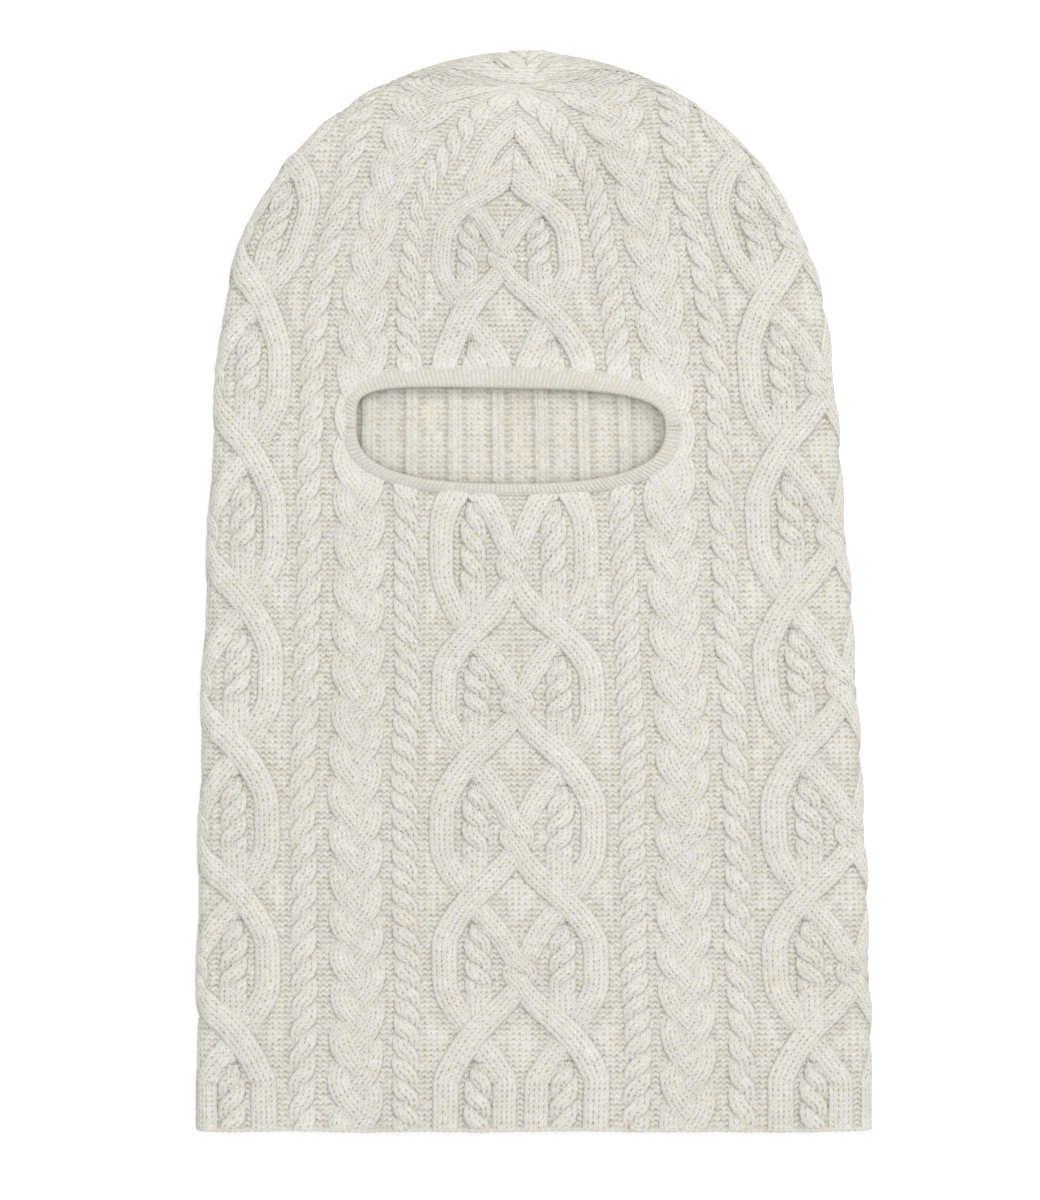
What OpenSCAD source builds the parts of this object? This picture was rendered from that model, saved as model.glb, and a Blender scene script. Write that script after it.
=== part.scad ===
// Cable-knit balaclava, lying flat with its face up.
// A hood knitted as one tube, in two halves from side fold to side fold, a ribbed
// band round the eye opening, four crown seams and their closure, a bound-off hem
// and a blank care label.
// +X is to the right, +Y runs from the neck to the crown, +Z is up, out of the face.
// The origin is under the middle of the hood, on the surface that it lies on.

/* [Hood] */
// Length from the hem to the top fold of the crown
hood_length = 403; // [360:1:440]
// Width across the hem, laid flat
hem_width = 254.8; // [235:0.1:275]
// Radius of the round crown, seen from the front
crown_radius = 114.5; // [106:0.5:120]
// How far the crown lies to the left of the middle of the hem
crown_lean = 4.2; // [0:0.1:8]
// Height above the hem, as a share of the crown radius, at which side and crown join
crown_join = 0.08; // [0.05:0.01:0.14]
// Height of the flattened hood as it lies
laid_height = 15; // [13:0.5:20]
// Thickness of the knitted fabric, cables included
fabric_thickness = 4; // [3:0.1:4.4]

/* [Eye opening] */
// Height of the middle of the band above the hem
eye_height = 262; // [240:1:275]
// Middle of the band, to the left of the origin
eye_shift = 8; // [0:0.5:12]
// Width across the outside of the band
band_width = 126; // [110:1:134]
// Height across the outside of the band
band_height = 48.4; // [42:0.2:54]
// Width of the clear opening
opening_width = 115.4; // [96:0.2:116]
// Height of the clear opening
opening_height = 35.8; // [30:0.2:37]
// How far the clear opening sits below the middle of the band
opening_drop = 2.2; // [0:0.1:2.4]
// How far the band stands above the hood
band_rise = 0.8; // [0.4:0.1:1.5]
// Width of the row of chain loops that links the band to the hood
linking_width = 1.4; // [0.8:0.1:2]

/* [Crown seams] */
// Distance of the crown point below the top fold
crown_point_drop = 11; // [8:0.5:14]
// Length of each crown seam
crown_seam_length = 47; // [30:1:60]
// Width of a linked seam
seam_width = 2.4; // [1.6:0.1:3]
// How far a seam stands out on the inside
seam_rise = 1; // [0.5:0.1:1.2]
// Radius of the closure at the crown point
closure_radius = 4.2; // [3.4:0.1:5]

/* [Hem and label] */
// Height of the bound-off edge
hem_edge_height = 2.6; // [2:0.1:4]
// Width of the care label
label_width = 22; // [16:1:30]
// Length of the folded care label
label_length = 34; // [24:1:44]
// Thickness of the folded care label
label_thickness = 0.8; // [0.5:0.1:1]

/* [Hidden] */

wool = [0.91, 0.88, 0.81];
wool_inside = [0.86, 0.82, 0.73];
trim_wool = [0.93, 0.91, 0.84];
seam_wool = [0.84, 0.80, 0.71];
label_white = [0.95, 0.95, 0.94];

hem_y = -hood_length / 2;
hem_half = hem_width / 2;
fold_radius = laid_height / 2;
gap_radius = fold_radius - fabric_thickness;
front_inside_z = laid_height - fabric_thickness;

// The crown is a circle; the side is a power curve that meets it with the same slope.
crown_centre_v = hood_length - crown_radius;
join_angle = asin(crown_join);
join_v = crown_centre_v + crown_radius * sin(join_angle);
side_taper = hem_half - crown_radius * cos(join_angle);
side_power = tan(join_angle) * join_v / side_taper;
side_steps = 16;
arc_steps = 36;
fold_steps = 6;

// Middle of the hood at a height v above the hem
function lean_x(v) = -crown_lean * (1 - cos(180 * v / hood_length)) / 2;

function side_point(v, side) =
    [lean_x(v) + side * (hem_half - side_taper * pow(v / join_v, side_power)), v];

function crown_point(angle) =
    let (v = crown_centre_v + crown_radius * sin(angle))
    [lean_x(v) + crown_radius * cos(angle), v];

// Silhouette from the right end of the hem, over the crown, to the left end
silhouette = concat(
    [for (i = [0:side_steps - 1]) let (t = i / side_steps)
        side_point(hem_edge_height + (join_v - hem_edge_height) * t, 1)],
    [for (i = [0:arc_steps])
        crown_point(join_angle + (180 - 2 * join_angle) * i / arc_steps)],
    [for (i = [side_steps - 1:-1:0]) let (t = i / side_steps)
        side_point(hem_edge_height + (join_v - hem_edge_height) * t, -1)]
);
last_point = len(silhouette) - 1;

// Outward direction at a point; it lies along X at both ends, so that the hem is flat
function outward(i) =
    i == 0 ? [1, 0]
    : i == last_point ? [-1, 0]
    : let (d = silhouette[i + 1] - silhouette[i - 1]) [d[1], -d[0]] / norm(d);

// One section across the fold: from the inside of the fabric, round to the outside
function fold_section(i, up) =
    let (
        n = outward(i),
        c = silhouette[i] - fold_radius * n
    )
    concat(
        [for (k = [fold_steps:-1:0]) let (a = 90 * k / fold_steps)
            [c[0] + gap_radius * cos(a) * n[0],
             hem_y + c[1] + gap_radius * cos(a) * n[1],
             fold_radius + up * gap_radius * sin(a)]],
        [for (k = [0:fold_steps]) let (a = 90 * k / fold_steps)
            [c[0] + fold_radius * cos(a) * n[0],
             hem_y + c[1] + fold_radius * cos(a) * n[1],
             fold_radius + up * fold_radius * sin(a)]]
    );

section_size = 2 * (fold_steps + 1);

// Half of the hood: the fabric from fold to fold. up is 1 for the front, -1 for the back.
module hood_half(up) {
    points = [for (i = [0:last_point]) each fold_section(i, up)];
    strip = [for (i = [0:last_point - 1]) for (k = [0:section_size - 2])
        let (a = i * section_size + k, b = a + 1, c = a + section_size, d = c + 1)
        each [[a, b, c], [b, d, c]]];
    inside_face = [for (i = [0:last_point]) i * section_size];
    outside_face = [for (i = [last_point:-1:0]) i * section_size + section_size - 1];
    hem_face = concat(
        [for (k = [section_size - 1:-1:0]) k],
        [for (k = [0:section_size - 1]) last_point * section_size + k]
    );
    faces = concat(strip, [inside_face, outside_face, hem_face]);
    polyhedron(points, up > 0 ? faces : [for (f = faces) [for (k = [len(f) - 1:-1:0]) f[k]]]);
}

// Flat shape with round ends, lying along X
module stadium(width, height) {
    radius = height / 2;
    reach = width / 2 - radius;
    translate([-reach, -radius]) square([2 * reach, height]);
    for (side = [-1, 1]) translate([side * reach, 0]) circle(r = radius, $fn = 96);
}

module at_eyes(z) {
    translate([-eye_shift, hem_y + eye_height, z]) children();
}

// Straight seam along Y, with rounded ends; low is the end nearer the hem
module seam_strip(x, low, length, z) {
    translate([x, low + length / 2, z])
        rotate([0, 0, 90])
            linear_extrude(height = seam_rise) stadium(length, seam_width);
}

front_seam_x = -6.2;
back_seam_x = 1.5;
crown_point_y = hood_length / 2 - crown_point_drop;
back_seam_top_y = hood_length / 2 - fold_radius;
label_x = 5;
label_y = hem_y + hem_edge_height + 3;

module front_panel() {
    color(wool)
    difference() {
        hood_half(1);
        at_eyes(front_inside_z - 1)
            linear_extrude(height = fabric_thickness + 2) stadium(band_width, band_height);
    }
}

module back_panel() {
    color(wool_inside) hood_half(-1);
}

module eye_band() {
    color(trim_wool)
    at_eyes(front_inside_z)
        linear_extrude(height = fabric_thickness + band_rise)
            difference() {
                stadium(band_width, band_height);
                translate([0, -opening_drop]) stadium(opening_width, opening_height);
            }
}

join_overlap = 0.6;
join_height = 0.4;

// Where the two ends of the band meet, at the wearer's left end of the opening
module eye_band_join() {
    length = (band_width - opening_width) / 2 + join_overlap;
    color(seam_wool)
    at_eyes(laid_height + band_rise)
        translate([band_width / 2 - length / 2, 0, 0])
            linear_extrude(height = join_height) stadium(length, linking_width);
}

module eye_band_linking() {
    color(seam_wool)
    at_eyes(laid_height)
        linear_extrude(height = band_rise)
            difference() {
                stadium(band_width + 2 * linking_width, band_height + 2 * linking_width);
                stadium(band_width, band_height);
            }
}

module front_crown_seam() {
    color(seam_wool)
    seam_strip(front_seam_x, crown_point_y - crown_seam_length,
        crown_seam_length - closure_radius, front_inside_z - seam_rise);
}

module back_crown_seam() {
    color(seam_wool)
    seam_strip(back_seam_x, back_seam_top_y - crown_seam_length, crown_seam_length,
        fabric_thickness);
}

side_seam_radius = crown_radius - crown_point_drop;
side_seam_thickness = 1.6;
side_seam_start = asin((closure_radius + 0.4) / side_seam_radius);
side_seam_sweep = crown_seam_length / side_seam_radius * 180 / PI - side_seam_start;

// Seam that runs from the crown point round the inside of the crown to the fold
module side_crown_seam(first_angle) {
    color(seam_wool)
    translate([front_seam_x, hem_y + crown_centre_v, front_inside_z - side_seam_thickness / 2])
        rotate([0, 0, first_angle])
            rotate_extrude(angle = side_seam_sweep, $fn = 180)
                translate([side_seam_radius, 0]) circle(d = side_seam_thickness, $fn = 24);
}

module left_crown_seam() {
    side_crown_seam(90 + side_seam_start);
}

module right_crown_seam() {
    side_crown_seam(90 - side_seam_start - side_seam_sweep);
}

module crown_closure() {
    color(seam_wool)
    translate([front_seam_x, crown_point_y, front_inside_z - side_seam_thickness])
        cylinder(h = side_seam_thickness, r = closure_radius, $fn = 48);
}

// Bound-off edge: a flattened ring round the mouth of the hood
module hem_edge() {
    color(trim_wool)
    translate([0, hem_y + hem_edge_height, fold_radius])
        rotate([90, 0, 0])
            linear_extrude(height = hem_edge_height)
                difference() {
                    stadium(hem_width, laid_height);
                    stadium(hem_width - 2 * fabric_thickness, laid_height - 2 * fabric_thickness);
                }
}

// Blank folded label, lying on the inside of the back
module care_label() {
    color(label_white)
    translate([label_x - label_width / 2, label_y, fabric_thickness])
        cube([label_width, label_length, label_thickness]);
}

stitch_count = 7;
stitch_inset = 2;
stitch_height = 0.3;
stitch_width = 0.6;

// Row of short stitches across the sewn end of the label
module care_label_stitches() {
    pitch = (label_width - 2 * stitch_inset) / (stitch_count - 1);
    color(seam_wool)
    for (i = [0:stitch_count - 1])
        translate([label_x - label_width / 2 + stitch_inset + i * pitch,
                   label_y + stitch_inset, fabric_thickness + label_thickness])
            linear_extrude(height = stitch_height) stadium(pitch * 0.7, stitch_width);
}

front_panel();
back_panel();
eye_band();
eye_band_join();
eye_band_linking();
front_crown_seam();
back_crown_seam();
left_crown_seam();
right_crown_seam();
crown_closure();
hem_edge();
care_label();
care_label_stitches();
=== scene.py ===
"""Cable-knit balaclava lying flat, face up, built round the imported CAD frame.

The hood is one knitted tube. Every raised cable is laid out on the flat fabric, by its
place across a quarter of the tube and along the rows, and hood_point() carries that
layout onto the flattened hood: up the sides, over the round crown and round the side
folds. All lengths here are in millimetres until a mesh is made.
"""

import math

import bpy
import numpy as np
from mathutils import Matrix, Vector


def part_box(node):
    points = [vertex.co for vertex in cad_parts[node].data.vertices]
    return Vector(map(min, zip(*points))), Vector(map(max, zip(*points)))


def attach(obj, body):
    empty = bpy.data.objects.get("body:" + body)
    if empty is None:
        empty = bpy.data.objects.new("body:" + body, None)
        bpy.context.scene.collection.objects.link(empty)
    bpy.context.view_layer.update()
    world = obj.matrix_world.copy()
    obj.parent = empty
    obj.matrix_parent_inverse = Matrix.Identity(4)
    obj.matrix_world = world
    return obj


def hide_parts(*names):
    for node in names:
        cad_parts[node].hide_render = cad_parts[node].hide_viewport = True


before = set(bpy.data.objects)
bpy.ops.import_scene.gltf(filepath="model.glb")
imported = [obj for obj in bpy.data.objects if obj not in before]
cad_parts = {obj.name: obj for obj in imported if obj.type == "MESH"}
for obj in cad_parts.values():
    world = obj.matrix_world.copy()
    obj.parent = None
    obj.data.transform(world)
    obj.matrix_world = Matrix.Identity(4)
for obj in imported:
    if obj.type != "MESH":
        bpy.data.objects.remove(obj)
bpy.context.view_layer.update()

# ---- sizes, from the frame
MM = 0.001


def box_mm(node):
    """Lowest and highest corner of a CAD node, in millimetres."""
    low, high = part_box(node)
    return np.array(low) / MM, np.array(high) / MM


HEM_LOW, HEM_HIGH = box_mm("hem_edge")
BAND_LOW, BAND_HIGH = box_mm("eye_band")

HEM_HALF = (HEM_HIGH[0] - HEM_LOW[0]) / 2
HEM_Y = HEM_LOW[1]
LENGTH = box_mm("back_panel")[1][1] - HEM_Y
THICK = HEM_HIGH[2] - HEM_LOW[2]
MID_Z = THICK / 2

# The crown is a half round. Its middle leans to the left of the hem's middle.
CROWN_R = 114.5
CROWN_V = LENGTH - CROWN_R
CROWN_LEAN = 4.2
FOLD_R = THICK / 2

# The eye band: the middle of its widest level, how far it reaches from there to the
# sides, up and down, and how much its upper edge falls to the right
BAND_X = (BAND_LOW[0] + BAND_HIGH[0]) / 2
BAND_Y = BAND_LOW[1] + 23.1
BAND_HALF = (BAND_HIGH[0] - BAND_LOW[0]) / 2
BAND_ABOVE = 23.0
BAND_BELOW = 25.4
BAND_TILT = 0.018

# Height of each layer of the fabric above the middle plane of the flattened hood, and
# the height at which the length round a side fold is taken
H_GROUND = 5.0
H_INSIDE = 3.3
H_REF = 6.2
FOLD_ARC = math.pi / 2 * H_REF
UNFOLDED_R = CROWN_R - FOLD_R + FOLD_ARC

# How far the crown point has slid over the top fold, onto the face
CROWN_SLIDE = 17.0
# The hood lies on its back, whose relief is pressed flatter
BACK_SQUEEZE = 0.84
# How deep the hidden edges of a cable dip under the ground
EDGE_DIP = -0.9

# ---- the flat knit layout
# A quarter of the tube runs from the middle of one oval panel to the next. The panel
# of the face is at 0, those of the sides at -1 and 1, and that of the back at 2.
QUARTER = 120.0
# On the laid hood they lie at these shares of its half width, and past 1 on its back.
PANEL_MARKS = [-2, -1, 0, 1, 2]
PANEL_PLACES = [-2.05, -0.98, -0.04, 0.92, 1.95]

# Rows at which the strands of an oval panel cross, measured from the hem
CROSS_FIRST = 34.8
CROSS_STEP = 54.7
CROSS_COUNT = 8

# Places from the middle of a panel at which its strands stand
OVAL_OUTER = 27.9
OVAL_CROSS = 16.9
SMALL_CABLE = 15.4
STRAND_WIDTH = 9.7
# Between these rows above a crossing stand the leaf and the rope of a small cable
LEAF_ROWS = (1.5, 20.0)
TWIST_ROWS = (15.5, 44.5)

# Places of the columns between two panels, as shares of a quarter
ROPE_NEAR = 0.345
BRAID = 0.4975
ROPE_FAR = 0.66
ROPE_WIDTH = 9.8
BRAID_WIDTH = 20.5

# Stitches: the height of a row in the cables, and a wale and a row of the ground
ROW = 1.9
GROUND_WALE = 2.3
GROUND_ROW = 2.0
# Smooth stripes between ladders of open stitches, on the wrong side of the knit
LADDER_STEP = 15.0
# A cable's path has a point at each such step of its length
PATH_STEP = 0.25

ROW_END = CROWN_V + UNFOLDED_R * math.pi / 2 - 1


def smooth(x):
    """Eases from 0 to 1."""
    x = np.clip(x, 0.0, 1.0)
    return x * x * (3 - 2 * x)


# ---- from fabric to hood
ARC_SHARES = np.linspace(0, 1, 41)
ARC_ANGLES = np.linspace(0, math.pi / 2, 361)
ARC_LENGTHS = np.linspace(0, UNFOLDED_R * math.pi / 2, 241)


def arc_table():
    """Angle up the crown reached after a length of wale, for each share of the width."""
    table = []
    step = ARC_ANGLES[1] - ARC_ANGLES[0]
    for share in ARC_SHARES:
        speed = UNFOLDED_R * np.sqrt(
            np.cos(ARC_ANGLES) ** 2 + (share * np.sin(ARC_ANGLES)) ** 2
        )
        run = np.concatenate([[0], np.cumsum((speed[1:] + speed[:-1]) / 2) * step])
        table.append(np.interp(ARC_LENGTHS, run, ARC_ANGLES))
    return np.array(table)


ARC_TABLE = arc_table()


def crown_angle(share, length):
    """Angle above the crown's centre at a length along a wale past that centre."""
    i = np.clip(np.abs(share), 0, 1) * (len(ARC_SHARES) - 1)
    j = np.clip(length / ARC_LENGTHS[-1], 0, 1) * (len(ARC_LENGTHS) - 1)
    i0 = np.minimum(i.astype(int), len(ARC_SHARES) - 2)
    j0 = np.minimum(j.astype(int), len(ARC_LENGTHS) - 2)
    u = i - i0
    v = j - j0
    low = ARC_TABLE[i0, j0] * (1 - v) + ARC_TABLE[i0, j0 + 1] * v
    high = ARC_TABLE[i0 + 1, j0] * (1 - v) + ARC_TABLE[i0 + 1, j0 + 1] * v
    return low * (1 - u) + high * u


def dart(y, at_side):
    """Share of a quarter that a crown seam has taken in at a height above the hem."""
    heights = [340, 352, 362, 372, 382, 391, 398, 406]
    middle = np.interp(y, heights, [0, 0.04, 0.12, 0.19, 0.25, 0.31, 0.37, 0.43])
    side = np.interp(y, heights, [0, 0.04, 0.11, 0.19, 0.28, 0.36, 0.43, 0.48])
    return np.where(at_side, side, middle)


def panel_slide(around, row):
    """The laid fabric is stretched in places, most by the eye opening in the face."""
    knots = [0, 38, 93, 148, 203, 257, 290, 312, 340, 367, 385, 410]
    everywhere = [0, 2, -1.4, -3, -3, -1, 0, 0.5, 1, 2, 1, 0]
    at_panel = [0, -0.2, -3, -3.5, -12, -7, -6, -5, -12, -22, -19, -6]
    weight = np.exp(-((around / 0.32) ** 4)) * (np.abs(around) < 1)
    return row + np.interp(row, knots, everywhere) + weight * np.interp(row, knots, at_panel)


def round_share(position):
    """Share of the hood's width, and which face, from a position round the tube."""
    place = np.interp(position, PANEL_MARKS, PANEL_PLACES)
    side = np.where(np.abs(place) <= 1, 1.0, -1.0)
    share = np.where(side > 0, place, np.sign(place) * 2 - place)
    return side, share


def taken_in(around, y):
    """Position round the tube once the crown seams have taken their share."""
    quarter = np.floor(around)
    inner = around - quarter
    from_side = quarter % 2 == 1
    before = dart(y, from_side)
    after = dart(y, ~from_side)
    kept = (inner - before) / (1 - before - after)
    return quarter + np.clip(kept, 0, 1), (kept < 0) | (kept > 1)


def from_rows(around, row):
    """Face, width, height above the hem and cut-away flag of fabric points."""
    row = panel_slide(around, row)
    y = row.copy()
    for _ in range(5):
        position, cut = taken_in(around, y)
        side, share = round_share(position)
        angle = crown_angle(share, np.maximum(row - CROWN_V, 0))
        y = np.where(row > CROWN_V, CROWN_V + UNFOLDED_R * np.sin(angle), row)
    width = share * UNFOLDED_R * np.where(row > CROWN_V, np.cos(angle), 1.0)
    return side, width, y, cut | (angle > math.pi / 2 - 0.03)


def from_angle(around, row, angle):
    """The same for a regular net, whose rows above the crown's centre go by angle."""
    y = np.where(angle > 0, CROWN_V + UNFOLDED_R * np.sin(angle), row)
    position, cut = taken_in(around, y)
    side, share = round_share(position)
    return side, share * UNFOLDED_R * np.cos(angle), y, cut


def middle_x(y):
    """The middle of the hood leans to the left towards the crown."""
    return -CROWN_LEAN * (1 - np.cos(np.pi * np.clip(y / LENGTH, 0, 1))) / 2


def spread(y):
    """The hood widens from the crown to the hem."""
    widest = HEM_HALF / CROWN_R - 1
    return 1 + widest * (1 - np.clip(y / 305, 0, 1) ** 1.9)


def panel_lean(side, width, y):
    """The middle front panel is drawn a little to the left above the eye opening."""
    level = np.exp(-(((y - 322) / 26) ** 4))
    return -3.4 * level * np.exp(-((width / 42) ** 2)) * (side > 0)


def hood_point(side, width, y, height):
    """Point of the hood at a height above the fabric's middle, fold and all."""
    up = y > CROWN_V
    reach = np.where(up, np.hypot(width, y - CROWN_V), np.abs(width))
    safe = np.maximum(reach, 1e-6)
    nx = np.where(up, width / safe, np.sign(width))
    ny = np.where(up, (y - CROWN_V) / safe, 0.0)
    sideways = panel_lean(side, width, y)
    slide = CROWN_SLIDE * (reach / UNFOLDED_R) ** 4 * np.exp(-((width / 36) ** 2))
    reach = reach - side * slide * np.maximum(ny, 0) ** 3
    over = reach > UNFOLDED_R
    side = np.where(over, -side, side)
    reach = np.where(over, 2 * UNFOLDED_R - reach, reach)
    inset = UNFOLDED_R - reach
    turn = np.clip(inset / H_REF, 0, math.pi / 2)
    bulge = H_GROUND + 0.4 * (height - H_GROUND)
    bulge = np.where(height < H_GROUND, height, bulge)
    radius = np.where(
        inset >= FOLD_ARC, reach, CROWN_R - FOLD_R + 0.6 + bulge * np.cos(turn)
    )
    x = nx * radius
    flat_y = np.where(up, CROWN_V + ny * radius, y)
    out = np.empty(x.shape + (3,))
    out[..., 0] = middle_x(flat_y) + x * spread(flat_y) + sideways
    out[..., 1] = HEM_Y + flat_y
    out[..., 2] = MID_Z + side * height * np.sin(turn)
    return out


def wrap(around):
    """The same position round the tube, between -2 and 2."""
    return (around + 2) % 4 - 2


def drift(around, row):
    """Small unevenness of the hand-laid garment, across and along the fabric."""
    across = 0.5 * np.sin(0.047 * row + 2.1 * around) + 0.3 * np.sin(0.11 * row - 5 * around)
    along = 0.6 * np.sin(3.3 * around + 0.02 * row) + 0.3 * np.sin(9.1 * around - 0.03 * row)
    return across * smooth(row / 30), along * smooth(row / 30)


def swell(around, row):
    """Slow rise and fall of the laid fabric."""
    long_wave = 0.2 * np.sin(0.035 * row + 4.0 * around)
    return long_wave + 0.15 * np.sin(0.081 * row - 7.0 * around)


def near_crown(points):
    """0.1 at the crown point, where the stitches are drawn together, 1 well away."""
    dx = points[..., 0] + CROWN_LEAN
    dy = points[..., 1] - (HEM_Y + CROWN_V + UNFOLDED_R - CROWN_SLIDE)
    return 0.1 + 0.9 * smooth(np.hypot(dx, dy) / 34)


def near_band(points):
    """0.35 beside the band of the eye opening, which holds the cables flat, 1 away."""
    dx = points[..., 0] - BAND_X
    dy = points[..., 1] - BAND_Y
    half_y = (BAND_ABOVE + BAND_BELOW) / 2
    out = (np.abs(dx / BAND_HALF) ** 3 + np.abs(dy / half_y) ** 3) ** (1 / 3) - 1
    ease = 0.35 + 0.65 * smooth(out / 0.3)
    return np.where(points[..., 2] > MID_Z, ease, 1.0)


def without_cables(side, width, y):
    """True along the top fold and behind it, where the drawn-in knit is left plain."""
    inset = UNFOLDED_R - np.hypot(width, y - CROWN_V)
    at_fold = (inset < 4) & (np.abs(width) < 42)
    behind = (side < 0) & (inset < 19) & (np.abs(np.abs(width) - 36) < 24)
    return (at_fold | behind) & (y > CROWN_V)


def crown_ease(row):
    """The relief flattens where the columns are drawn together at the crown."""
    return 0.3 + 0.7 * smooth((ROW_END - row) / 62)


# ---- meshes
def outline(angle, half_x, high, low, powers):
    """A rounded outline. powers make it rounder or squarer at its top right, top left
    and bottom."""
    c = np.cos(angle)
    s = np.sin(angle)
    top_right, top_left, bottom = powers
    blend = smooth(0.5 - c * 0.9)
    power = np.where(s >= 0, top_right * (1 - blend) + top_left * blend, bottom)
    half_y = np.where(s >= 0, high, low)
    scale = (np.abs(c) ** power + np.abs(s) ** power) ** (-1 / power)
    return half_x * c * scale, half_y * s * scale


def band_outer(angle, grow=0.0):
    reach = [size + grow for size in (BAND_HALF, BAND_ABOVE, BAND_BELOW)]
    x, y = outline(angle, *reach, (2.9, 4.0, 2.7))
    return BAND_X + x, BAND_Y + y - BAND_TILT * x * (y > 0)


def band_inner(angle):
    x, y = outline(angle, BAND_HALF - 6.1, 14.3, 20.6, (3.2, 5.0, 2.6))
    return BAND_X - 0.5 + x, BAND_Y + y - BAND_TILT * x * (y > 0)


def in_slot(points):
    """True where the eye opening is cut through the face, under the band's middle."""
    dx = points[..., 0] - BAND_X
    dy = points[..., 1] - BAND_Y
    angle = np.arctan2(dy / 21.0, dx / (BAND_HALF - 2.6))
    ox, oy = band_outer(angle)
    ix, iy = band_inner(angle)
    mx = (ox + ix) / 2 - BAND_X
    my = (oy + iy) / 2 - BAND_Y
    inside = dx * dx + dy * dy < mx * mx + my * my
    return inside & (points[..., 2] > MID_Z)


def knit_grid(across, along):
    """Knit coordinates of a grid: wales across it and rows along it."""
    return np.stack(np.broadcast_arrays(across, along), axis=-1)


class Net:
    """Collects grids of points into one mesh, with knit coordinates and the shade painted at each
    point.
    """

    def __init__(self):
        self.points = []
        self.faces = []
        self.knit = []
        self.cavity_shade = []
        self.count = 0

    def add_grid(self, points, knit, cavity_shade, drop=None, closed=False, slot=True):
        """points is rows x columns x 3; drop marks the points that are cut away."""
        rows, columns = points.shape[:2]
        index = np.arange(rows * columns).reshape(rows, columns)
        if closed:
            index = np.concatenate([index, index[:, :1]], axis=1)
        a = index[:-1, :-1]
        b = index[:-1, 1:]
        c = index[1:, 1:]
        d = index[1:, :-1]
        faces = np.stack([a, b, c, d], axis=-1).reshape(-1, 4)
        flat = points.reshape(-1, 3)
        keep = np.ones(len(faces), bool)
        if slot:
            keep &= ~in_slot(flat[faces].mean(axis=1))
        if drop is not None:
            keep &= ~drop.reshape(-1)[faces].all(axis=1)
        faces = faces[keep]
        used = np.zeros(len(flat), bool)
        used[faces] = True
        new = np.cumsum(used) - 1
        self.points.append(flat[used])
        self.knit.append(knit.reshape(-1, 2)[used])
        self.cavity_shade.append(np.broadcast_to(cavity_shade, (rows, columns)).reshape(-1)[used])
        self.faces.append(new[faces] + self.count)
        self.count += int(used.sum())

    def make(self, name):
        """The collected grids as one smooth object."""
        points = np.concatenate(self.points) * MM
        faces = np.concatenate(self.faces)
        a, b, c, d = (points[faces[:, i]] for i in range(4))
        area = np.linalg.norm(np.cross(c - a, d - b), axis=1)
        faces = faces[area > 1e-12]
        mesh = bpy.data.meshes.new(name)
        mesh.from_pydata(points.tolist(), [], faces.tolist(), shade_flat=False)
        layer = mesh.uv_layers.new(name="knit")
        knit = np.concatenate(self.knit)[faces.reshape(-1)]
        layer.data.foreach_set("uv", knit.astype(np.float32).reshape(-1))
        # Each point's painted shade, which the wool materials read
        cavity_shade = mesh.attributes.new("cavity_shade", "FLOAT", "POINT")
        cavity_shade.data.foreach_set("value", np.concatenate(self.cavity_shade).astype(np.float32))
        mesh.validate()
        piece = bpy.data.objects.new(name, mesh)
        bpy.context.collection.objects.link(piece)
        return piece


# ---- where cables lie
# A raster of the flat fabric, half a millimetre a cell, tells the ground where the
# cables stand, so that it sinks into ladders beside them.
CELL = 0.5
RASTER_COLUMNS = int(4 * QUARTER / CELL)
RASTER_ROWS = int(480 / CELL)
BARE = -5.0
cable_height = np.full((RASTER_ROWS, RASTER_COLUMNS), BARE)


def raster_cell(around, row):
    """Row and column of the cell that holds a point of the fabric."""
    i = np.clip((row / CELL).astype(int), 0, RASTER_ROWS - 1)
    j = ((around + 2) * QUARTER / CELL).astype(int) % RASTER_COLUMNS
    return i, j


def beside_cables():
    """Distance in millimetres from each cell to the nearest cable."""
    covered = cable_height > BARE
    for axis in (0, 1, 0, 1):
        covered = covered | np.roll(covered, 1, axis) | np.roll(covered, -1, axis)
    distance = np.where(covered, 0.0, 9.0)
    reached = covered
    for step in range(1, 7):
        grown = reached.copy()
        for axis in (0, 1):
            grown |= np.roll(reached, 1, axis) | np.roll(reached, -1, axis)
        distance[grown & ~reached] = step * CELL
        reached = grown
    return distance


# ---- raised cables
chance = np.random.default_rng(11)


def uneven(rows, columns, stitch_row, stitch_column):
    """How much of a gap each stitch shows, the same all over the stitch."""
    table = 0.35 + 1.2 * chance.random((rows, columns))
    return table[stitch_row, stitch_column]


def jitter(shape, size):
    """Seeded unevenness of up to size either way."""
    return size * (2 * chance.random(shape) - 1)


# Depth of a knit stitch across its wale, at quarters of the wale from its edge, on the
# rows of legs and on the rows between them
LEG_DEPTH = np.array([0.24, 0.0, 0.08, 0.0])
GAP_DEPTH = np.array([0.70, 0.20, 0.40, 0.20])
LEG_LEAN = np.array([0.5, 0.25, 0.0, 0.25])
# How much shade is painted into the same places, most in the gaps between stitches
LEG_DARK = np.array([0.2, 0.0, 0.06, 0.0])
GAP_DARK = np.array([1.0, 0.15, 0.45, 0.15])


def along_path(across, row, height, width, step):
    """The path resampled at even steps of its own length, with its direction."""
    across, row, height, width = np.broadcast_arrays(across, row, height, width)
    run = np.concatenate([[0], np.cumsum(np.hypot(np.diff(across), np.diff(row)))])
    count = max(int(run[-1] / step), 4)
    at = np.linspace(0, run[-1], count + 1)
    a, r, h, w = (np.interp(at, run, v) for v in (across, row, height, width))
    da = np.gradient(a)
    dr = np.gradient(r)
    size = np.maximum(np.hypot(da, dr), 1e-9)
    return a, r, h, w, da / size, dr / size


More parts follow.
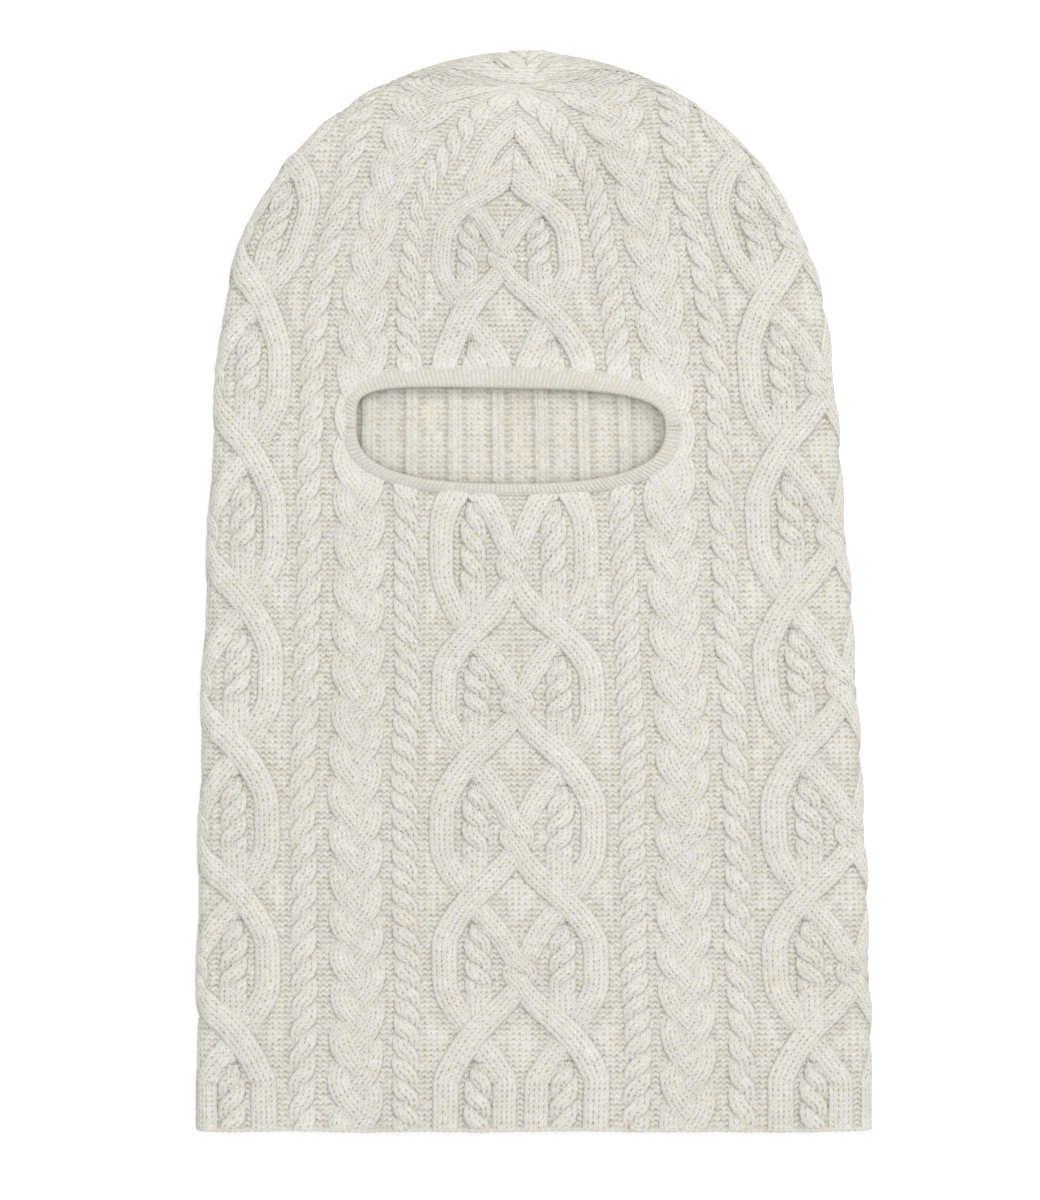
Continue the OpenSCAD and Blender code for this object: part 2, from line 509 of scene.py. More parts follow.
def add_cable(net, middle, across, row, height, width, wales, crown=1.45, fine=2):
    """One strand of knit stitches along a path on the flat fabric.

    middle is the position round the tube that across is measured from, in quarters.
    height is the strand's lift above the ground, and crown how far it bulges. fine is
    2 for four columns of points to a wale, and 1 for two.
    """
    a, r, lift, wide, ta, tr = along_path(across, row, height, width, ROW / 2)
    steps = 4 if fine == 2 else 2
    u = np.linspace(-1, 1, wales * steps + 1)
    u = np.concatenate([[-1.05], u, [1.05]])
    wale_at = (u + 1) / 2 * wales
    quarter = np.round((wale_at - np.floor(wale_at)) * 4).astype(int) % 4
    odd = (np.arange(len(a)) % 2)[:, None]
    lean = LEG_LEAN[quarter] * ROW
    edge = np.abs(u) > 1
    dome = crown * (1 - np.abs(np.clip(u, -1, 1)) ** 2.3)
    stitch_row = np.arange(len(a))[:, None] // 2
    stitch_column = np.clip(np.round(wale_at).astype(int), 0, wales)
    gaps = uneven(len(a) // 2 + 1, wales + 1, stitch_row, stitch_column)
    deep = np.where(odd, GAP_DEPTH[quarter] * gaps, LEG_DEPTH[quarter])
    dark = np.where(odd, GAP_DARK[quarter] * gaps, LEG_DARK[quarter])
    h = lift[:, None] + dome - deep
    offset = u * wide[:, None] / 2 + jitter(deep.shape, 0.14)
    aa = a[:, None] + tr[:, None] * offset + ta[:, None] * lean
    rr = r[:, None] - ta[:, None] * offset + tr[:, None] * lean
    rr = rr + jitter(rr.shape, 0.14)
    h = np.where(edge, EDGE_DIP, h) * crown_ease(rr)
    around = middle + aa / QUARTER
    i, j = raster_cell(wrap(around), rr)
    inner = ~edge
    np.maximum.at(cable_height, (i[:, inner], j[:, inner]), h[:, inner])
    rr = np.maximum(rr, 0.8)
    da, dr = drift(around, rr)
    side, width_at, y, cut = from_rows(wrap(around + da / QUARTER), rr + dr)
    squeeze = np.where(side < 0, BACK_SQUEEZE, 1.0)
    drawn_in = without_cables(side, width_at, y)
    base = hood_point(side, width_at, y, np.full(h.shape, H_GROUND))
    calm = near_crown(base) * near_band(base)
    h = np.where(edge, h, h * calm + 0.6 * (1 - calm))
    at_side = np.abs(np.abs(wrap(around)) - 1) < 0.6
    h = np.where((cut & at_side) | drawn_in, EDGE_DIP, h)
    points = hood_point(side, width_at, y, H_GROUND + (h + swell(around, rr)) * squeeze)
    knit = knit_grid(wale_at, np.arange(len(a))[:, None] / 2)
    # Painted shade: darker in the stitch gaps, at the strand's edges where it meets the ground,
    # and where it passes under another strand
    edge_shade = np.clip((np.abs(u) - 0.85) / 0.2, 0, 1) * 0.25
    buried_shade = 0.22 * np.clip(0.1 - lift, 0, 1)[:, None]
    cavity_shade = np.clip(dark * 0.8 + edge_shade + buried_shade, 0, 1)
    outside = (rr < 0.9) | (rr > ROW_END) | drawn_in
    net.add_grid(points, knit, cavity_shade * calm, drop=cut | outside)


def twisted(rows, phase, reach, lift, turn):
    """Offset and lift of one strand of a rope that turns once in each turn of length."""
    angle = 2 * np.pi * rows / turn + phase
    return reach * np.tanh(1.2 * np.sin(angle)) / math.tanh(1.2), lift * np.cos(angle)


def add_rope(net, middle, across, width, turn, lean, fine):
    """Rope cable of two strands. lean is 1 where its lobes lean to the right going up."""
    rows = np.arange(0.0, ROW_END, PATH_STEP)
    strand = width * 0.66
    reach = (width - strand) / 2 * 1.15
    for phase in (0.0, np.pi):
        offset, lift = twisted(rows, phase + 0.6 * across, reach, 0.95, turn)
        add_cable(
            net, middle, across + lean * offset, rows, lift - 0.1, strand, 3,
            crown=1.1, fine=fine,
        )


def add_braid(net, middle, across, width, turn, fine):
    """Plait of three strands whose visible lobes point down to its middle."""
    rows = np.arange(0.0, ROW_END, PATH_STEP)
    strand = width * 0.43
    reach = (width - strand) / 2
    for k in range(3):
        angle = 2 * np.pi * (rows / turn + k / 3)
        add_cable(
            net, middle, across + reach * np.sin(angle), rows, 0.8 * np.sin(2 * angle),
            strand, 5, fine=fine,
        )


def oval_path(start, mirror):
    """Rows, places and lifts of one strand of an oval panel, hem to crown.

    Going up from a crossing, where it lies over its neighbour, the strand runs in to
    the middle, twists twice with the strand of the other half, goes back out under
    its neighbour and stands outside to the crossing after next.
    """
    over, under = (0.8, -0.7) if mirror > 0 else (-0.7, 0.8)
    step = CROSS_STEP
    repeat = np.array([
        (0.0, OVAL_CROSS, 1.0), (5.0, 12.4, 0.9), (10.2, 7.2, 0.7), (15.5, 3.0, 0.6),
        (20.5, 0.0, over), (24.4, -2.7, 0.2), (28.4, 0.0, under), (31.7, 2.8, 0.1),
        (38.0, 5.8, 0.1), (44.0, 9.8, 0.1), (50.0, 14.2, -0.3),
        (step, OVAL_CROSS, -0.7), (step + 4.3, 20.0, -0.4), (step + 10.3, 24.0, 0.1),
        (step + 17.3, 27.3, 0.2), (step + 27.3, OVAL_OUTER, 0.2),
        (step + 37.3, 27.2, 0.2), (step + 43.3, 24.6, 0.4), (step + 49.3, 21.0, 0.8),
    ])
    count = 6
    rows = np.concatenate([repeat[:, 0] + start + 2 * step * k for k in range(count)])
    places = np.tile(repeat[:, 1], count) * mirror
    return rows, places, np.tile(repeat[:, 2], count)


def eased(at, knots, values):
    """Smooth curve through the knots (Catmull-Rom)."""
    i = np.clip(np.searchsorted(knots, at, side="right") - 1, 1, len(knots) - 3)
    k0, k1, k2, k3 = (knots[i + j] for j in (-1, 0, 1, 2))
    v0, v1, v2, v3 = (values[i + j] for j in (-1, 0, 1, 2))
    t = (at - k1) / (k2 - k1)
    m1 = (v2 - v0) / (k2 - k0) * (k2 - k1)
    m2 = (v3 - v1) / (k3 - k1) * (k2 - k1)
    t2 = t * t
    t3 = t2 * t
    start = (2 * t3 - 3 * t2 + 1) * v1 + (t3 - 2 * t2 + t) * m1
    return start + (-2 * t3 + 3 * t2) * v2 + (t3 - t2) * m2


def add_oval_strands(net, middle, fine):
    """The four strands of one oval panel."""
    rows = np.arange(0.0, ROW_END, PATH_STEP)
    # Near the hem the strands run straight down
    held = np.maximum(rows, 18.0)
    for mirror in (-1, 1):
        for first in (-4, -3):
            knots, places, lifts = oval_path(CROSS_FIRST + first * CROSS_STEP, mirror)
            place = eased(held, knots, places)
            narrow = 1 - 0.2 * np.exp(-((place / 5.5) ** 2))
            add_cable(
                net, middle, place, rows, eased(held, knots, lifts),
                STRAND_WIDTH * narrow, 5, fine=fine,
            )


def add_small_cables(net, middle, fine):
    """The short rope inside each oval, which ends below in a plain pointed leaf."""
    for k in range(-1, CROSS_COUNT):
        low = CROSS_FIRST + k * CROSS_STEP
        foot_row = low + TWIST_ROWS[0]
        for mirror in (-1, 1):
            place = mirror * SMALL_CABLE
            leaf = np.arange(low + LEAF_ROWS[0], low + LEAF_ROWS[1], PATH_STEP)
            growth = np.sqrt(np.clip((leaf - low - 1.2) / 6.5, 0.01, 1))
            add_cable(
                net, middle, place, leaf, -0.5 + 0.4 * growth, 10.2 * growth, 5,
                crown=1.2, fine=fine,
            )
            rows = np.arange(foot_row, low + TWIST_ROWS[1], PATH_STEP)
            for phase in (0.0, np.pi):
                offset, lift = twisted(rows - foot_row, phase, 2.1, 1.1, 15.8)
                top = 1 - smooth((rows - low - 37.0) / 7.0)
                foot = smooth((rows - foot_row) / 3.5)
                add_cable(
                    net, middle, place + mirror * offset * (0.5 + 0.5 * top), rows,
                    lift * top + 0.3 - 1.5 * (1 - foot),
                    6.2 * (0.4 + 0.6 * top), 3, crown=1.3, fine=fine,
                )


def add_columns(ropes, braids, middle, fine):
    """Rope, plait and rope on both sides of the panel at middle."""
    for mirror in (-1, 1):
        near = mirror * ROPE_NEAR * QUARTER
        far = mirror * ROPE_FAR * QUARTER
        add_rope(ropes, middle, near, ROPE_WIDTH, 14.6, mirror, fine)
        add_rope(ropes, middle, far, ROPE_WIDTH, 19.0, -mirror, fine)
        add_braid(braids, middle, mirror * BRAID * QUARTER, BRAID_WIDTH, 46.5, fine)


# ---- ground of the knit
def inside_lift(points):
    """The back lies close under the face where the eye opening shows its inside."""
    dx = (points[..., 0] - BAND_X) / 78
    dy = (points[..., 1] - BAND_Y) / 40
    return 4.2 * np.exp(-(dx ** 4) - dy ** 4)


def ladder_distance(around):
    """Distance in millimetres to the middle of the nearest smooth stripe inside."""
    place = around * QUARTER / LADDER_STEP
    return np.abs(place - np.round(place)) * LADDER_STEP


def ground_net(net, first, last, fine, beside, inside):
    """Regular net of stitches from one position round the tube to another.

    It is the purl ground of the outside, or the wrong side of the knit inside, with
    fine columns of points to a wale. beside is the distance from each cell of the
    raster to the nearest cable.
    """
    wale, row = GROUND_WALE, GROUND_ROW
    height = H_INSIDE if inside else H_GROUND
    columns = int(round((last - first) * QUARTER / wale)) * fine
    around = np.linspace(first, last, columns + 1)
    frac = (np.arange(columns + 1) % fine) / fine
    body = np.arange(1.2, CROWN_V, row / 2)
    arc = np.arange(row / 2, UNFOLDED_R * 1.17, row / 2)
    rise = crown_angle(np.full(arc.shape, 0.45), arc)
    rows = np.concatenate([body, np.full(rise.shape, CROWN_V)])
    angles = np.concatenate([np.zeros(body.shape), rise])
    count = len(rows)
    shape = (count, columns + 1)
    odd = (np.arange(count) % 2)[:, None]
    around_all = np.broadcast_to(around, shape)
    length_up = np.broadcast_to(np.concatenate([body, CROWN_V + arc])[:, None], shape)
    i, j = raster_cell(wrap(around_all), length_up)
    away = beside[i, j]
    wave = np.broadcast_to(np.cos(2 * np.pi * frac), shape)
    if inside:
        # Smooth columns stand between the ladders of the wrong side
        to_stripe = ladder_distance(around_all)
        plain = smooth((2.9 - to_stripe) / 0.8)
        wave = wave * (1 - 2 * plain)
    stitch_row = np.arange(count)[:, None] // 2
    stitch_column = np.round(np.arange(columns + 1) / fine).astype(int)
    gaps = uneven(count // 2 + 1, columns // fine + 2, stitch_row, stitch_column)
    gaps[:, [0, -1]] = 1.0
    spot = np.clip(wave, 0, 1)
    deep = odd * (0.28 + 0.3 * spot) * gaps
    # Painted shade in the gaps between stitches, darkest at the purl spots
    dark = odd * (0.3 + 0.5 * spot) * gaps
    if inside:
        # Painted shade along the edges of the ladders and in lines down the smooth stripes
        line = plain * np.clip(np.cos(2 * np.pi * frac), 0, 1)
        edge = np.exp(-(((to_stripe - 3.4) / 0.9) ** 2)) * odd * gaps
        dark = dark * (1 - 0.9 * plain) + 0.6 * line * (0.2 + 0.8 * odd * gaps) + edge
        deep = deep - 1.1 * plain + 0.5 * line + 0.7 * edge
    else:
        near = np.exp(-((away / 1.9) ** 2))
        deep = deep + near * (0.2 + 0.35 * odd * gaps)
        # Beside the cables more shade is painted into the ladder gaps
        dark = dark + near * (1.0 * odd * gaps - 0.12)
    lean = jitter(shape, 0.17)
    lean[:, [0, -1]] = 0.0
    lean += 0.2 * row * wave
    in_crown = angles[:, None] > 0
    row_all = rows[:, None] + np.where(in_crown, 0, lean)
    turned = np.clip(angles[:, None] + lean / UNFOLDED_R, 1e-5, math.pi / 2)
    angle_all = np.where(in_crown, turned, 0.0)
    moved = around_all + jitter(shape, 0.15) / QUARTER * (frac > 0)
    side, width, y, cut = from_angle(wrap(moved), row_all, angle_all)
    level = swell(around_all, row_all)
    calm = near_crown(hood_point(side, width, y, np.full(shape, height)))
    sunk = calm * (np.minimum(deep, 0.6) if inside else -np.minimum(deep, 1.1))
    points = hood_point(side, width, y, height + sunk + level)
    if inside:
        points[..., 2] += inside_lift(points) * (side < 0)
    knit = knit_grid(np.arange(columns + 1) / fine, np.arange(count)[:, None] / 2)
    face = first >= -1 and last <= 1
    dark = np.clip(dark, 0, 1) * calm
    net.add_grid(points, knit, dark, drop=cut, slot=face)


# ---- yarn and trims
def ring_frames(path, closed):
    """Sideways and upward directions along a path."""
    if closed:
        along = np.roll(path, -1, axis=0) - np.roll(path, 1, axis=0)
    else:
        along = np.gradient(path, axis=0)
    along = along / np.linalg.norm(along, axis=1, keepdims=True)
    up = np.array([0.0, 0.0, 1.0]) - along * along[:, 2:3]
    up = up / np.linalg.norm(up, axis=1, keepdims=True)
    return np.cross(along, up), up


def add_yarn(net, path, radius, pitch, closed=False, sides=6):
    """Two plies of yarn laid round each other along a path."""
    length = np.linalg.norm(np.diff(path, axis=0), axis=1)
    run = np.concatenate([[0], np.cumsum(length)])
    if closed:
        whole = run[-1] + np.linalg.norm(path[0] - path[-1])
        pitch = whole / max(round(whole / pitch), 1)
    sideways, up = ring_frames(path, closed)
    around = np.linspace(0, 2 * np.pi, sides, endpoint=False)
    for phase in (0.0, np.pi):
        twist = 2 * np.pi * run / pitch + phase
        wide = np.cos(twist)[:, None] * sideways
        centre = path + radius * 0.75 * (wide + np.sin(twist)[:, None] * up)
        ring = (
            np.cos(around)[None, :, None] * sideways[:, None, :]
            + np.sin(around)[None, :, None] * up[:, None, :]
        )
        points = centre[:, None, :] + radius * ring
        if closed:
            points = np.concatenate([points, points[:1]])
            places = np.append(run, whole)
        else:
            tips = np.array([0.05, 0.6])[:, None, None]
            points[:2] = centre[:2, None, :] + radius * tips * ring[:2]
            points[-2:] = centre[-2:, None, :] + radius * tips[::-1] * ring[-2:]
            places = run
        knit = knit_grid(around / 6, places[:, None] / ROW)
        # An even painted shade over the yarn
        net.add_grid(points, knit, 0.25, closed=True, slot=False)


def add_stitch(net, middle, reach, rise, radius, pitch):
    """One small stitch: a bow of yarn over its middle, reaching across to both sides."""
    t = np.linspace(0, np.pi, 9)
    x, y, z = middle
    bow = np.stack(
        [x + reach[0] * np.cos(t), y + reach[1] * np.cos(t), z + rise * np.sin(t)], -1
    )
    add_yarn(net, bow, radius, pitch)


def build_band():
    """The ribbed band round the eye opening: a soft roll with ribs across it."""
    count = 1376
    angle = even_angles(count)
    ox, oy = band_outer(angle)
    ix, iy = band_inner(angle)
    ribs = np.arange(count) / 8
    sides = 18
    turn = np.linspace(0, 2 * np.pi, sides, endpoint=False)
    across = np.sign(np.cos(turn)) * np.abs(np.cos(turn)) ** 0.8
    rise = np.sign(np.sin(turn)) * np.abs(np.sin(turn)) ** 0.75
    middle = np.stack([(ox + ix) / 2, (oy + iy) / 2], -1)
    half = np.stack([(ox - ix) / 2, (oy - iy) / 2], -1)
    rib = 0.5 + 0.5 * np.cos(2 * np.pi * ribs)
    swell_up = 0.5 * (rib - 0.5)[:, None]
    flat = middle[:, None, :] + half[:, None, :] * across[None, :, None] * 0.985
    roll = 0.35 * np.sin(angle)[:, None] - 0.2
    z = MID_Z + 4.8 + (1.9 + swell_up) * rise - 0.8 * across - roll * 0.3
    points = np.concatenate([flat, z[..., None]], -1)
    points = np.concatenate([points, points[:1]])
    ribs = np.append(ribs, count / 8)
    rib = np.append(rib, rib[0])
    knit = knit_grid(ribs[:, None], turn * 1.4)
    # Painted shade in the valleys between the ribs and on the underside of the roll
    under = np.clip(-across, 0, 1) ** 3 * 0.5 * (rise > -0.4)
    cavity_shade = np.clip((1 - rib)[:, None] * 0.7 + under, 0, 1)
    net = Net()
    net.add_grid(points, knit, cavity_shade, closed=True, slot=False)
    return net.make("eye_band_rib")


def even_angles(count):
    """Angles that step evenly along the middle of the eye band."""
    angle = np.linspace(0, 2 * np.pi, 4001)
    ox, oy = band_outer(angle)
    ix, iy = band_inner(angle)
    step = np.hypot(np.diff(ox + ix), np.diff(oy + iy))
    run = np.concatenate([[0], np.cumsum(step)])
    return np.interp(np.arange(count) / count * run[-1], run, angle)


def build_linking():
    """The chain that links the band to the knit, along the band's outer edge."""
    angle = even_angles(900)
    x, y = band_outer(angle, -0.7)
    path = np.stack([x, y, np.full(x.shape, MID_Z + 5.2)], -1)
    net = Net()
    add_yarn(net, path, 0.36, 3.4, closed=True)
    return net.make("eye_band_chain")


def build_join():
    """Whip stitches where the two ends of the band meet."""
    net = Net()
    low, high = box_mm("eye_band_join")
    y = (low[1] + high[1]) / 2
    for x in np.linspace(low[0] + 1.6, high[0] - 0.8, 3):
        add_stitch(net, (x, y, low[2] - 0.9), (0.5, -0.7), 0.15, 0.17, 2.4)
    return net.make("eye_band_whip")


def seam_path(node):
    """Middle line of a straight crown seam, at half its height."""
    low, high = box_mm(node)
    y = np.linspace(low[1] + 1, high[1] - 1, 60)
    x = np.full(y.shape, (low[0] + high[0]) / 2)
    return np.stack([x, y, np.full(y.shape, (low[2] + high[2]) / 2)], -1)


# Middle and radius of the arc that the side seams of the crown follow
SEAM_X = -6.2
SEAM_R = 103.5


def side_seam_path(node):
    """Middle line of a curved crown seam, which follows the inside of the fold."""
    low, high = box_mm(node)
    left = low[0] + high[0] < 0
    start = math.asin(min(abs((low[0] if left else high[0]) - SEAM_X) / (SEAM_R + 0.8), 1))
    end = math.asin(abs((high[0] if left else low[0]) - SEAM_X) / SEAM_R)
    angle = np.linspace(start - 0.01, end + 0.01, 70)
    sign = -1 if left else 1
    x = SEAM_X + sign * SEAM_R * np.sin(angle)
    y = HEM_Y + CROWN_V + SEAM_R * np.cos(angle)
    return np.stack([x, y, np.full(angle.shape, (low[2] + high[2]) / 2)], -1)


def build_seams():
    """A row of linking yarn along each crown seam, with the node it stands for."""
    seams = []
    for node, path, radius in (
        ("front_crown_seam", seam_path, 0.3),
        ("back_crown_seam", seam_path, 0.3),
        ("left_crown_seam", side_seam_path, 0.38),
        ("right_crown_seam", side_seam_path, 0.38),
    ):
        net = Net()
        add_yarn(net, path(node), radius, 3.0)
        seams.append((net.make(node + "_chain"), node))
    return seams


def build_closure():
    """The yarn drawn round the crown point, as a flat spiral of two turns."""
    low, high = box_mm("crown_closure")
    cx, cy = (low[0] + high[0]) / 2, (low[1] + high[1]) / 2
    t = np.linspace(0, 4 * np.pi, 120)
    radius = 0.9 + 2.4 * t / t[-1]
    z = np.full(t.shape, (low[2] + high[2]) / 2)
    path = np.stack([cx + radius * np.cos(t), cy + radius * np.sin(t), z], -1)
    net = Net()
    add_yarn(net, path, 0.35, 3.0)
    return net.make("crown_gather")


def build_hem():
    """The cast-on edge: a rounded edge of small loops all round the neck opening."""
    columns = int(round(4 * QUARTER / GROUND_WALE)) * 4
    around = np.linspace(-2, 2, columns, endpoint=False)
    i, j = raster_cell(around, np.full(around.shape, 3.0))
    beside = [(j + k) % RASTER_COLUMNS for k in (-1, 0, 1)]
    tall = np.max([cable_height[i + n, js] for n in (-2, 0, 2) for js in beside], axis=0)
    tall = np.maximum(tall, 0.0)
    ring = np.concatenate([tall[-4:], tall, tall[:4]])
    tall = np.convolve(ring, np.ones(9) / 9, mode="valid")
    loop = np.cos(np.arange(columns) / 4 * 2 * np.pi)
    back = np.abs(around) > 1
    outer = H_GROUND + (tall + 0.15 * loop) * np.where(back, BACK_SQUEEZE, 1.0)
    # From the inside round the edge to the outside: height above the hem, share of the
    # way out, and a last push outwards
    profile = [
        (2.9, 0.0, -0.1), (1.5, 0.0, -0.25), (0.5, 0.12, -0.1), (0.1, 0.4, 0.0),
        (0.05, 0.7, 0.0), (0.25, 0.93, 0.0), (0.7, 1.0, 0.1), (1.2, 1.0, -0.1),
        (1.7, 0.95, -0.7), (2.1, 0.9, -1.3),
    ]
    wave = 0.3 + 0.3 * np.sin(11 * around) * np.sin(4.3 * around + 1)
    side, share_x = round_share(around)
    rows = []
    for up, share, push in profile:
        height = H_INSIDE + (outer - H_INSIDE) * share + push
        row = np.maximum(up + wave + 0.15 * loop, 0.02)
        rows.append(hood_point(side, share_x * UNFOLDED_R, row, height))
    # Painted shade, darker between the loops of the edge
    dark = 0.1 + 0.15 * (1 - loop)
    knit = knit_grid(np.arange(columns) / 4, np.arange(len(profile))[:, None] / 2)
    net = Net()
    net.add_grid(np.array(rows), knit, dark, closed=True, slot=False)
    return net.make("hem_cast_on")


def build_label():
    """Plain folded tape sewn inside the back, a little crowned, with soft edges."""
    across = np.linspace(-1, 1, 25)
    along = np.linspace(-1, 1, 37)
    low, high = box_mm("care_label")
    half_x, half_y = (high[0] - low[0]) / 2, (high[1] - low[1]) / 2
    cx, cy = (high[0] + low[0]) / 2, (high[1] + low[1]) / 2
    v, u = np.meshgrid(along, across, indexing="ij")
    bow = 0.12 * np.cos(2.2 * v + 0.4) * (1 - u * u)
    edge = 1 - np.maximum(np.abs(u), np.abs(v)) ** 14
    net = Net()
    for top in (True, False):
        lift = 0.12 + (0.5 if top else 0.06) * edge
        z = low[2] + lift + bow * 0.4
        points = np.stack([cx + u * half_x, cy + v * half_y, z], -1)
        if not top:
            points = points[:, ::-1]
        net.add_grid(points, points[..., :2], 0.0, slot=False)
    label = net.make("care_label_tape")
    net = Net()
    low, high = box_mm("care_label_stitches")
    y = (low[1] + high[1]) / 2
    for x in np.linspace(low[0] + 0.8, high[0] - 0.8, 7):
        add_stitch(net, (x, y, low[2] - 0.05), (-0.8, 0.0), 0.2, 0.1, 1.2)
    return label, net.make("care_label_thread")


# ---- materials
def new_material(name):
    """A material, its node tree and its shader."""
    material = bpy.data.materials.new(name)
    material.use_nodes = True
    tree = material.node_tree
    return material, tree, tree.nodes["Principled BSDF"]


class Maker:
    """Shorthand for building a node tree."""

    def __init__(self, tree):
        self.nodes = tree.nodes
        self.links = tree.links

    def put(self, value, socket):
        """Links a socket, or sets a number or colour."""
        if isinstance(value, bpy.types.NodeSocket):
            self.links.new(value, socket)
        else:
            socket.default_value = value

    def node(self, kind, **inputs):
        """A new node, with the named inputs linked or set."""
        node = self.nodes.new("ShaderNode" + kind)
        for name, value in inputs.items():
            self.put(value, node.inputs[name])
        return node

    def math(self, operation, a, b=0.0, clamp=False):
        node = self.node("Math")
        node.operation = operation
        node.use_clamp = clamp
        self.put(a, node.inputs[0])
        self.put(b, node.inputs[1])
        return node.outputs[0]

    def noise(self, vector, scale, detail=2.0):
        return self.node("TexNoise", Vector=vector, Scale=scale, Detail=detail).outputs["Fac"]

    def blend(self, factor, a, b, kind="MIX"):
        node = self.node("Mix")
        node.data_type = "RGBA"
        node.blend_type = kind
        self.put(factor, node.inputs["Factor"])
        self.put(a, node.inputs["A"])
        self.put(b, node.inputs["B"])
        return node.outputs["Result"]

    def ramp(self, value, low, high):
        """0 at low and 1 at high, clamped."""
        limits = {"From Min": low, "From Max": high}
        return self.node("MapRange", Value=value, **limits).outputs["Result"]


def wool(name, tint=(1.0, 1.0, 1.0), shade_strength=0.8, purl=False, gap_shade=0.5):
    """Marled cream wool: speckled colour, painted shade in the stitch gaps and hollows, and a
    fibrous surface.
    """
    material, tree, shader = new_material(name)
    make = Maker(tree)
    place = make.node("TexCoord").outputs["Object"]
    layer = make.node("UVMap")
    layer.uv_map = "knit"
    across, along, _ = make.node("SeparateXYZ", Vector=layer.outputs["UV"]).outputs

    # Each stitch opens more or less than its neighbours, and takes more or less painted gap shade
    cell = make.node("CombineXYZ", X=make.math("ROUND", across), Y=make.math("FLOOR", along))
    by_stitch = make.node("TexWhiteNoise", Vector=cell.outputs[0]).outputs["Value"]
    open_by = make.math("ADD", make.math("MULTIPLY", by_stitch, 1.3), 0.2)
    shift = make.math("SUBTRACT", make.noise(place, 420.0, 1.0), 0.5)
    along = make.math("ADD", along, make.math("MULTIPLY", shift, 0.9))

    # Painted shade in the gaps between stitches, from the knit coordinates, added to each point's
    # painted shade
    from_leg = make.math("ABSOLUTE", make.math("SUBTRACT", make.math("FRACT", along), 0.5))
    gap = make.ramp(from_leg, 0.30, 0.05)
    wale = make.math("ABSOLUTE", make.math("SUBTRACT", make.math("FRACT", across), 0.5))
    if purl:
        spot = make.ramp(wale, 0.18, 0.46)
        gap = make.math("MULTIPLY", gap, make.math("ADD", make.math("MULTIPLY", spot, 0.7), 0.3))
    else:
        edge = make.ramp(wale, 0.28, 0.48)
        line = make.math("MULTIPLY", edge, 0.12)
        gap = make.math("ADD", make.math("MULTIPLY", gap, edge), line, clamp=True)
    shade_attribute = make.node("Attribute")
    shade_attribute.attribute_name = "cavity_shade"
    depth = make.math("MULTIPLY", shade_attribute.outputs["Fac"], 0.55)
    gap = make.math("MULTIPLY", gap, open_by)
    dark = make.math("ADD", depth, make.math("MULTIPLY", gap, gap_shade), clamp=True)

    # Speckle of the marled yarn: fine light and dark fibres, and broad soft tints
    fine = make.noise(place, 2300.0, 1.0)
    streaks = make.node("Mapping", Vector=layer.outputs["UV"], Scale=(6.0, 1.7, 1.0))
    speckle = make.noise(streaks.outputs["Vector"], 1.0, 2.0)
    tints = make.noise(place, 330.0, 1.0)
    broad = make.noise(place, 40.0, 1.0)
    warm = tuple(a * b for a, b in zip((0.610, 0.588, 0.525), tint)) + (1,)
    cool = tuple(a * b for a, b in zip((0.602, 0.597, 0.582), tint)) + (1,)
    base = make.blend(make.ramp(tints, 0.38, 0.62), warm, cool)
    grain = make.math("ADD", make.math("MULTIPLY", fine, 0.5), make.math("MULTIPLY", speckle, 0.5))
    grain = make.math("ADD", grain, make.math("MULTIPLY", make.math("SUBTRACT", broad, 0.5), 0.12))
    light = make.ramp(grain, 0.38, 0.62)
    base = make.blend(light, make.blend(1.0, base, (0.80, 0.79, 0.76, 1), "MULTIPLY"), base)
    bright = make.math("MULTIPLY", make.ramp(fine, 0.58, 0.74), 0.55)
    base = make.blend(bright, base, (0.76, 0.745, 0.705, 1))
    # Painted shade: the darkened places are mixed towards a warm dark shade colour
    shaded = make.blend(make.math("MULTIPLY", dark, shade_strength), base, (0.30, 0.265, 0.19, 1))
    tree.links.new(shaded, shader.inputs["Base Color"])

    # Fibres and stitch gaps also catch the light
    fibre = make.noise(place, 1900.0, 3.0)
    fuzz = make.math("MULTIPLY", fibre, 0.8)
    relief = make.math("SUBTRACT", fuzz, make.math("MULTIPLY", dark, 0.6))
    bump = make.node("Bump", Strength=0.55, Distance=0.0007, Height=relief)
    tree.links.new(bump.outputs["Normal"], shader.inputs["Normal"])
    shader.inputs["Roughness"].default_value = 0.92
    shader.inputs["Specular IOR Level"].default_value = 0.12
    shader.inputs["Sheen Weight"].default_value = 0.2
    shader.inputs["Sheen Roughness"].default_value = 0.5
    return material


def tape(name):
    """Smooth white woven tape."""
    material, tree, shader = new_material(name)
    make = Maker(tree)
    place = make.node("TexCoord").outputs["Object"]
    wave = make.node("TexWave", Vector=place, Scale=900.0)
    grain = make.math("MULTIPLY", wave.outputs["Fac"], make.noise(place, 900.0))
    woven = make.blend(grain, (0.80, 0.80, 0.79, 1), (0.70, 0.70, 0.69, 1))
    tree.links.new(woven, shader.inputs["Base Color"])
    shader.inputs["Roughness"].default_value = 0.6
    return material


# ---- build
def finish_piece(piece, material, slot, *nodes):
    """Gives a piece its material and body, and hides the CAD nodes it stands for. slot is not
    used.
    """
    piece.data.materials.append(material)
    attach(piece, "root")
    if nodes:
        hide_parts(*nodes)
    return piece


def build_raised(material):
    """All cables of the outside, which fill the raster as they are laid."""
    for name, middles, fine in (
        ("front", (0,), 2), ("side", (-1, 1), 2), ("back", (2,), 1),
    ):
        strands, small = Net(), Net()
        for middle in middles:
            add_oval_strands(strands, middle, fine)
            add_small_cables(small, middle, fine)
        finish_piece(strands.make(name + "_strands"), material, "cable_knit")
        finish_piece(small.make(name + "_small_cables"), material, "cable_knit")
    for name, middle, fine in (("front", 0, 2), ("back", 2, 1)):
        ropes, braids = Net(), Net()
        add_columns(ropes, braids, middle, fine)
        finish_piece(ropes.make(name + "_ropes"), material, "cable_knit")
        finish_piece(braids.make(name + "_plaits"), material, "cable_knit")


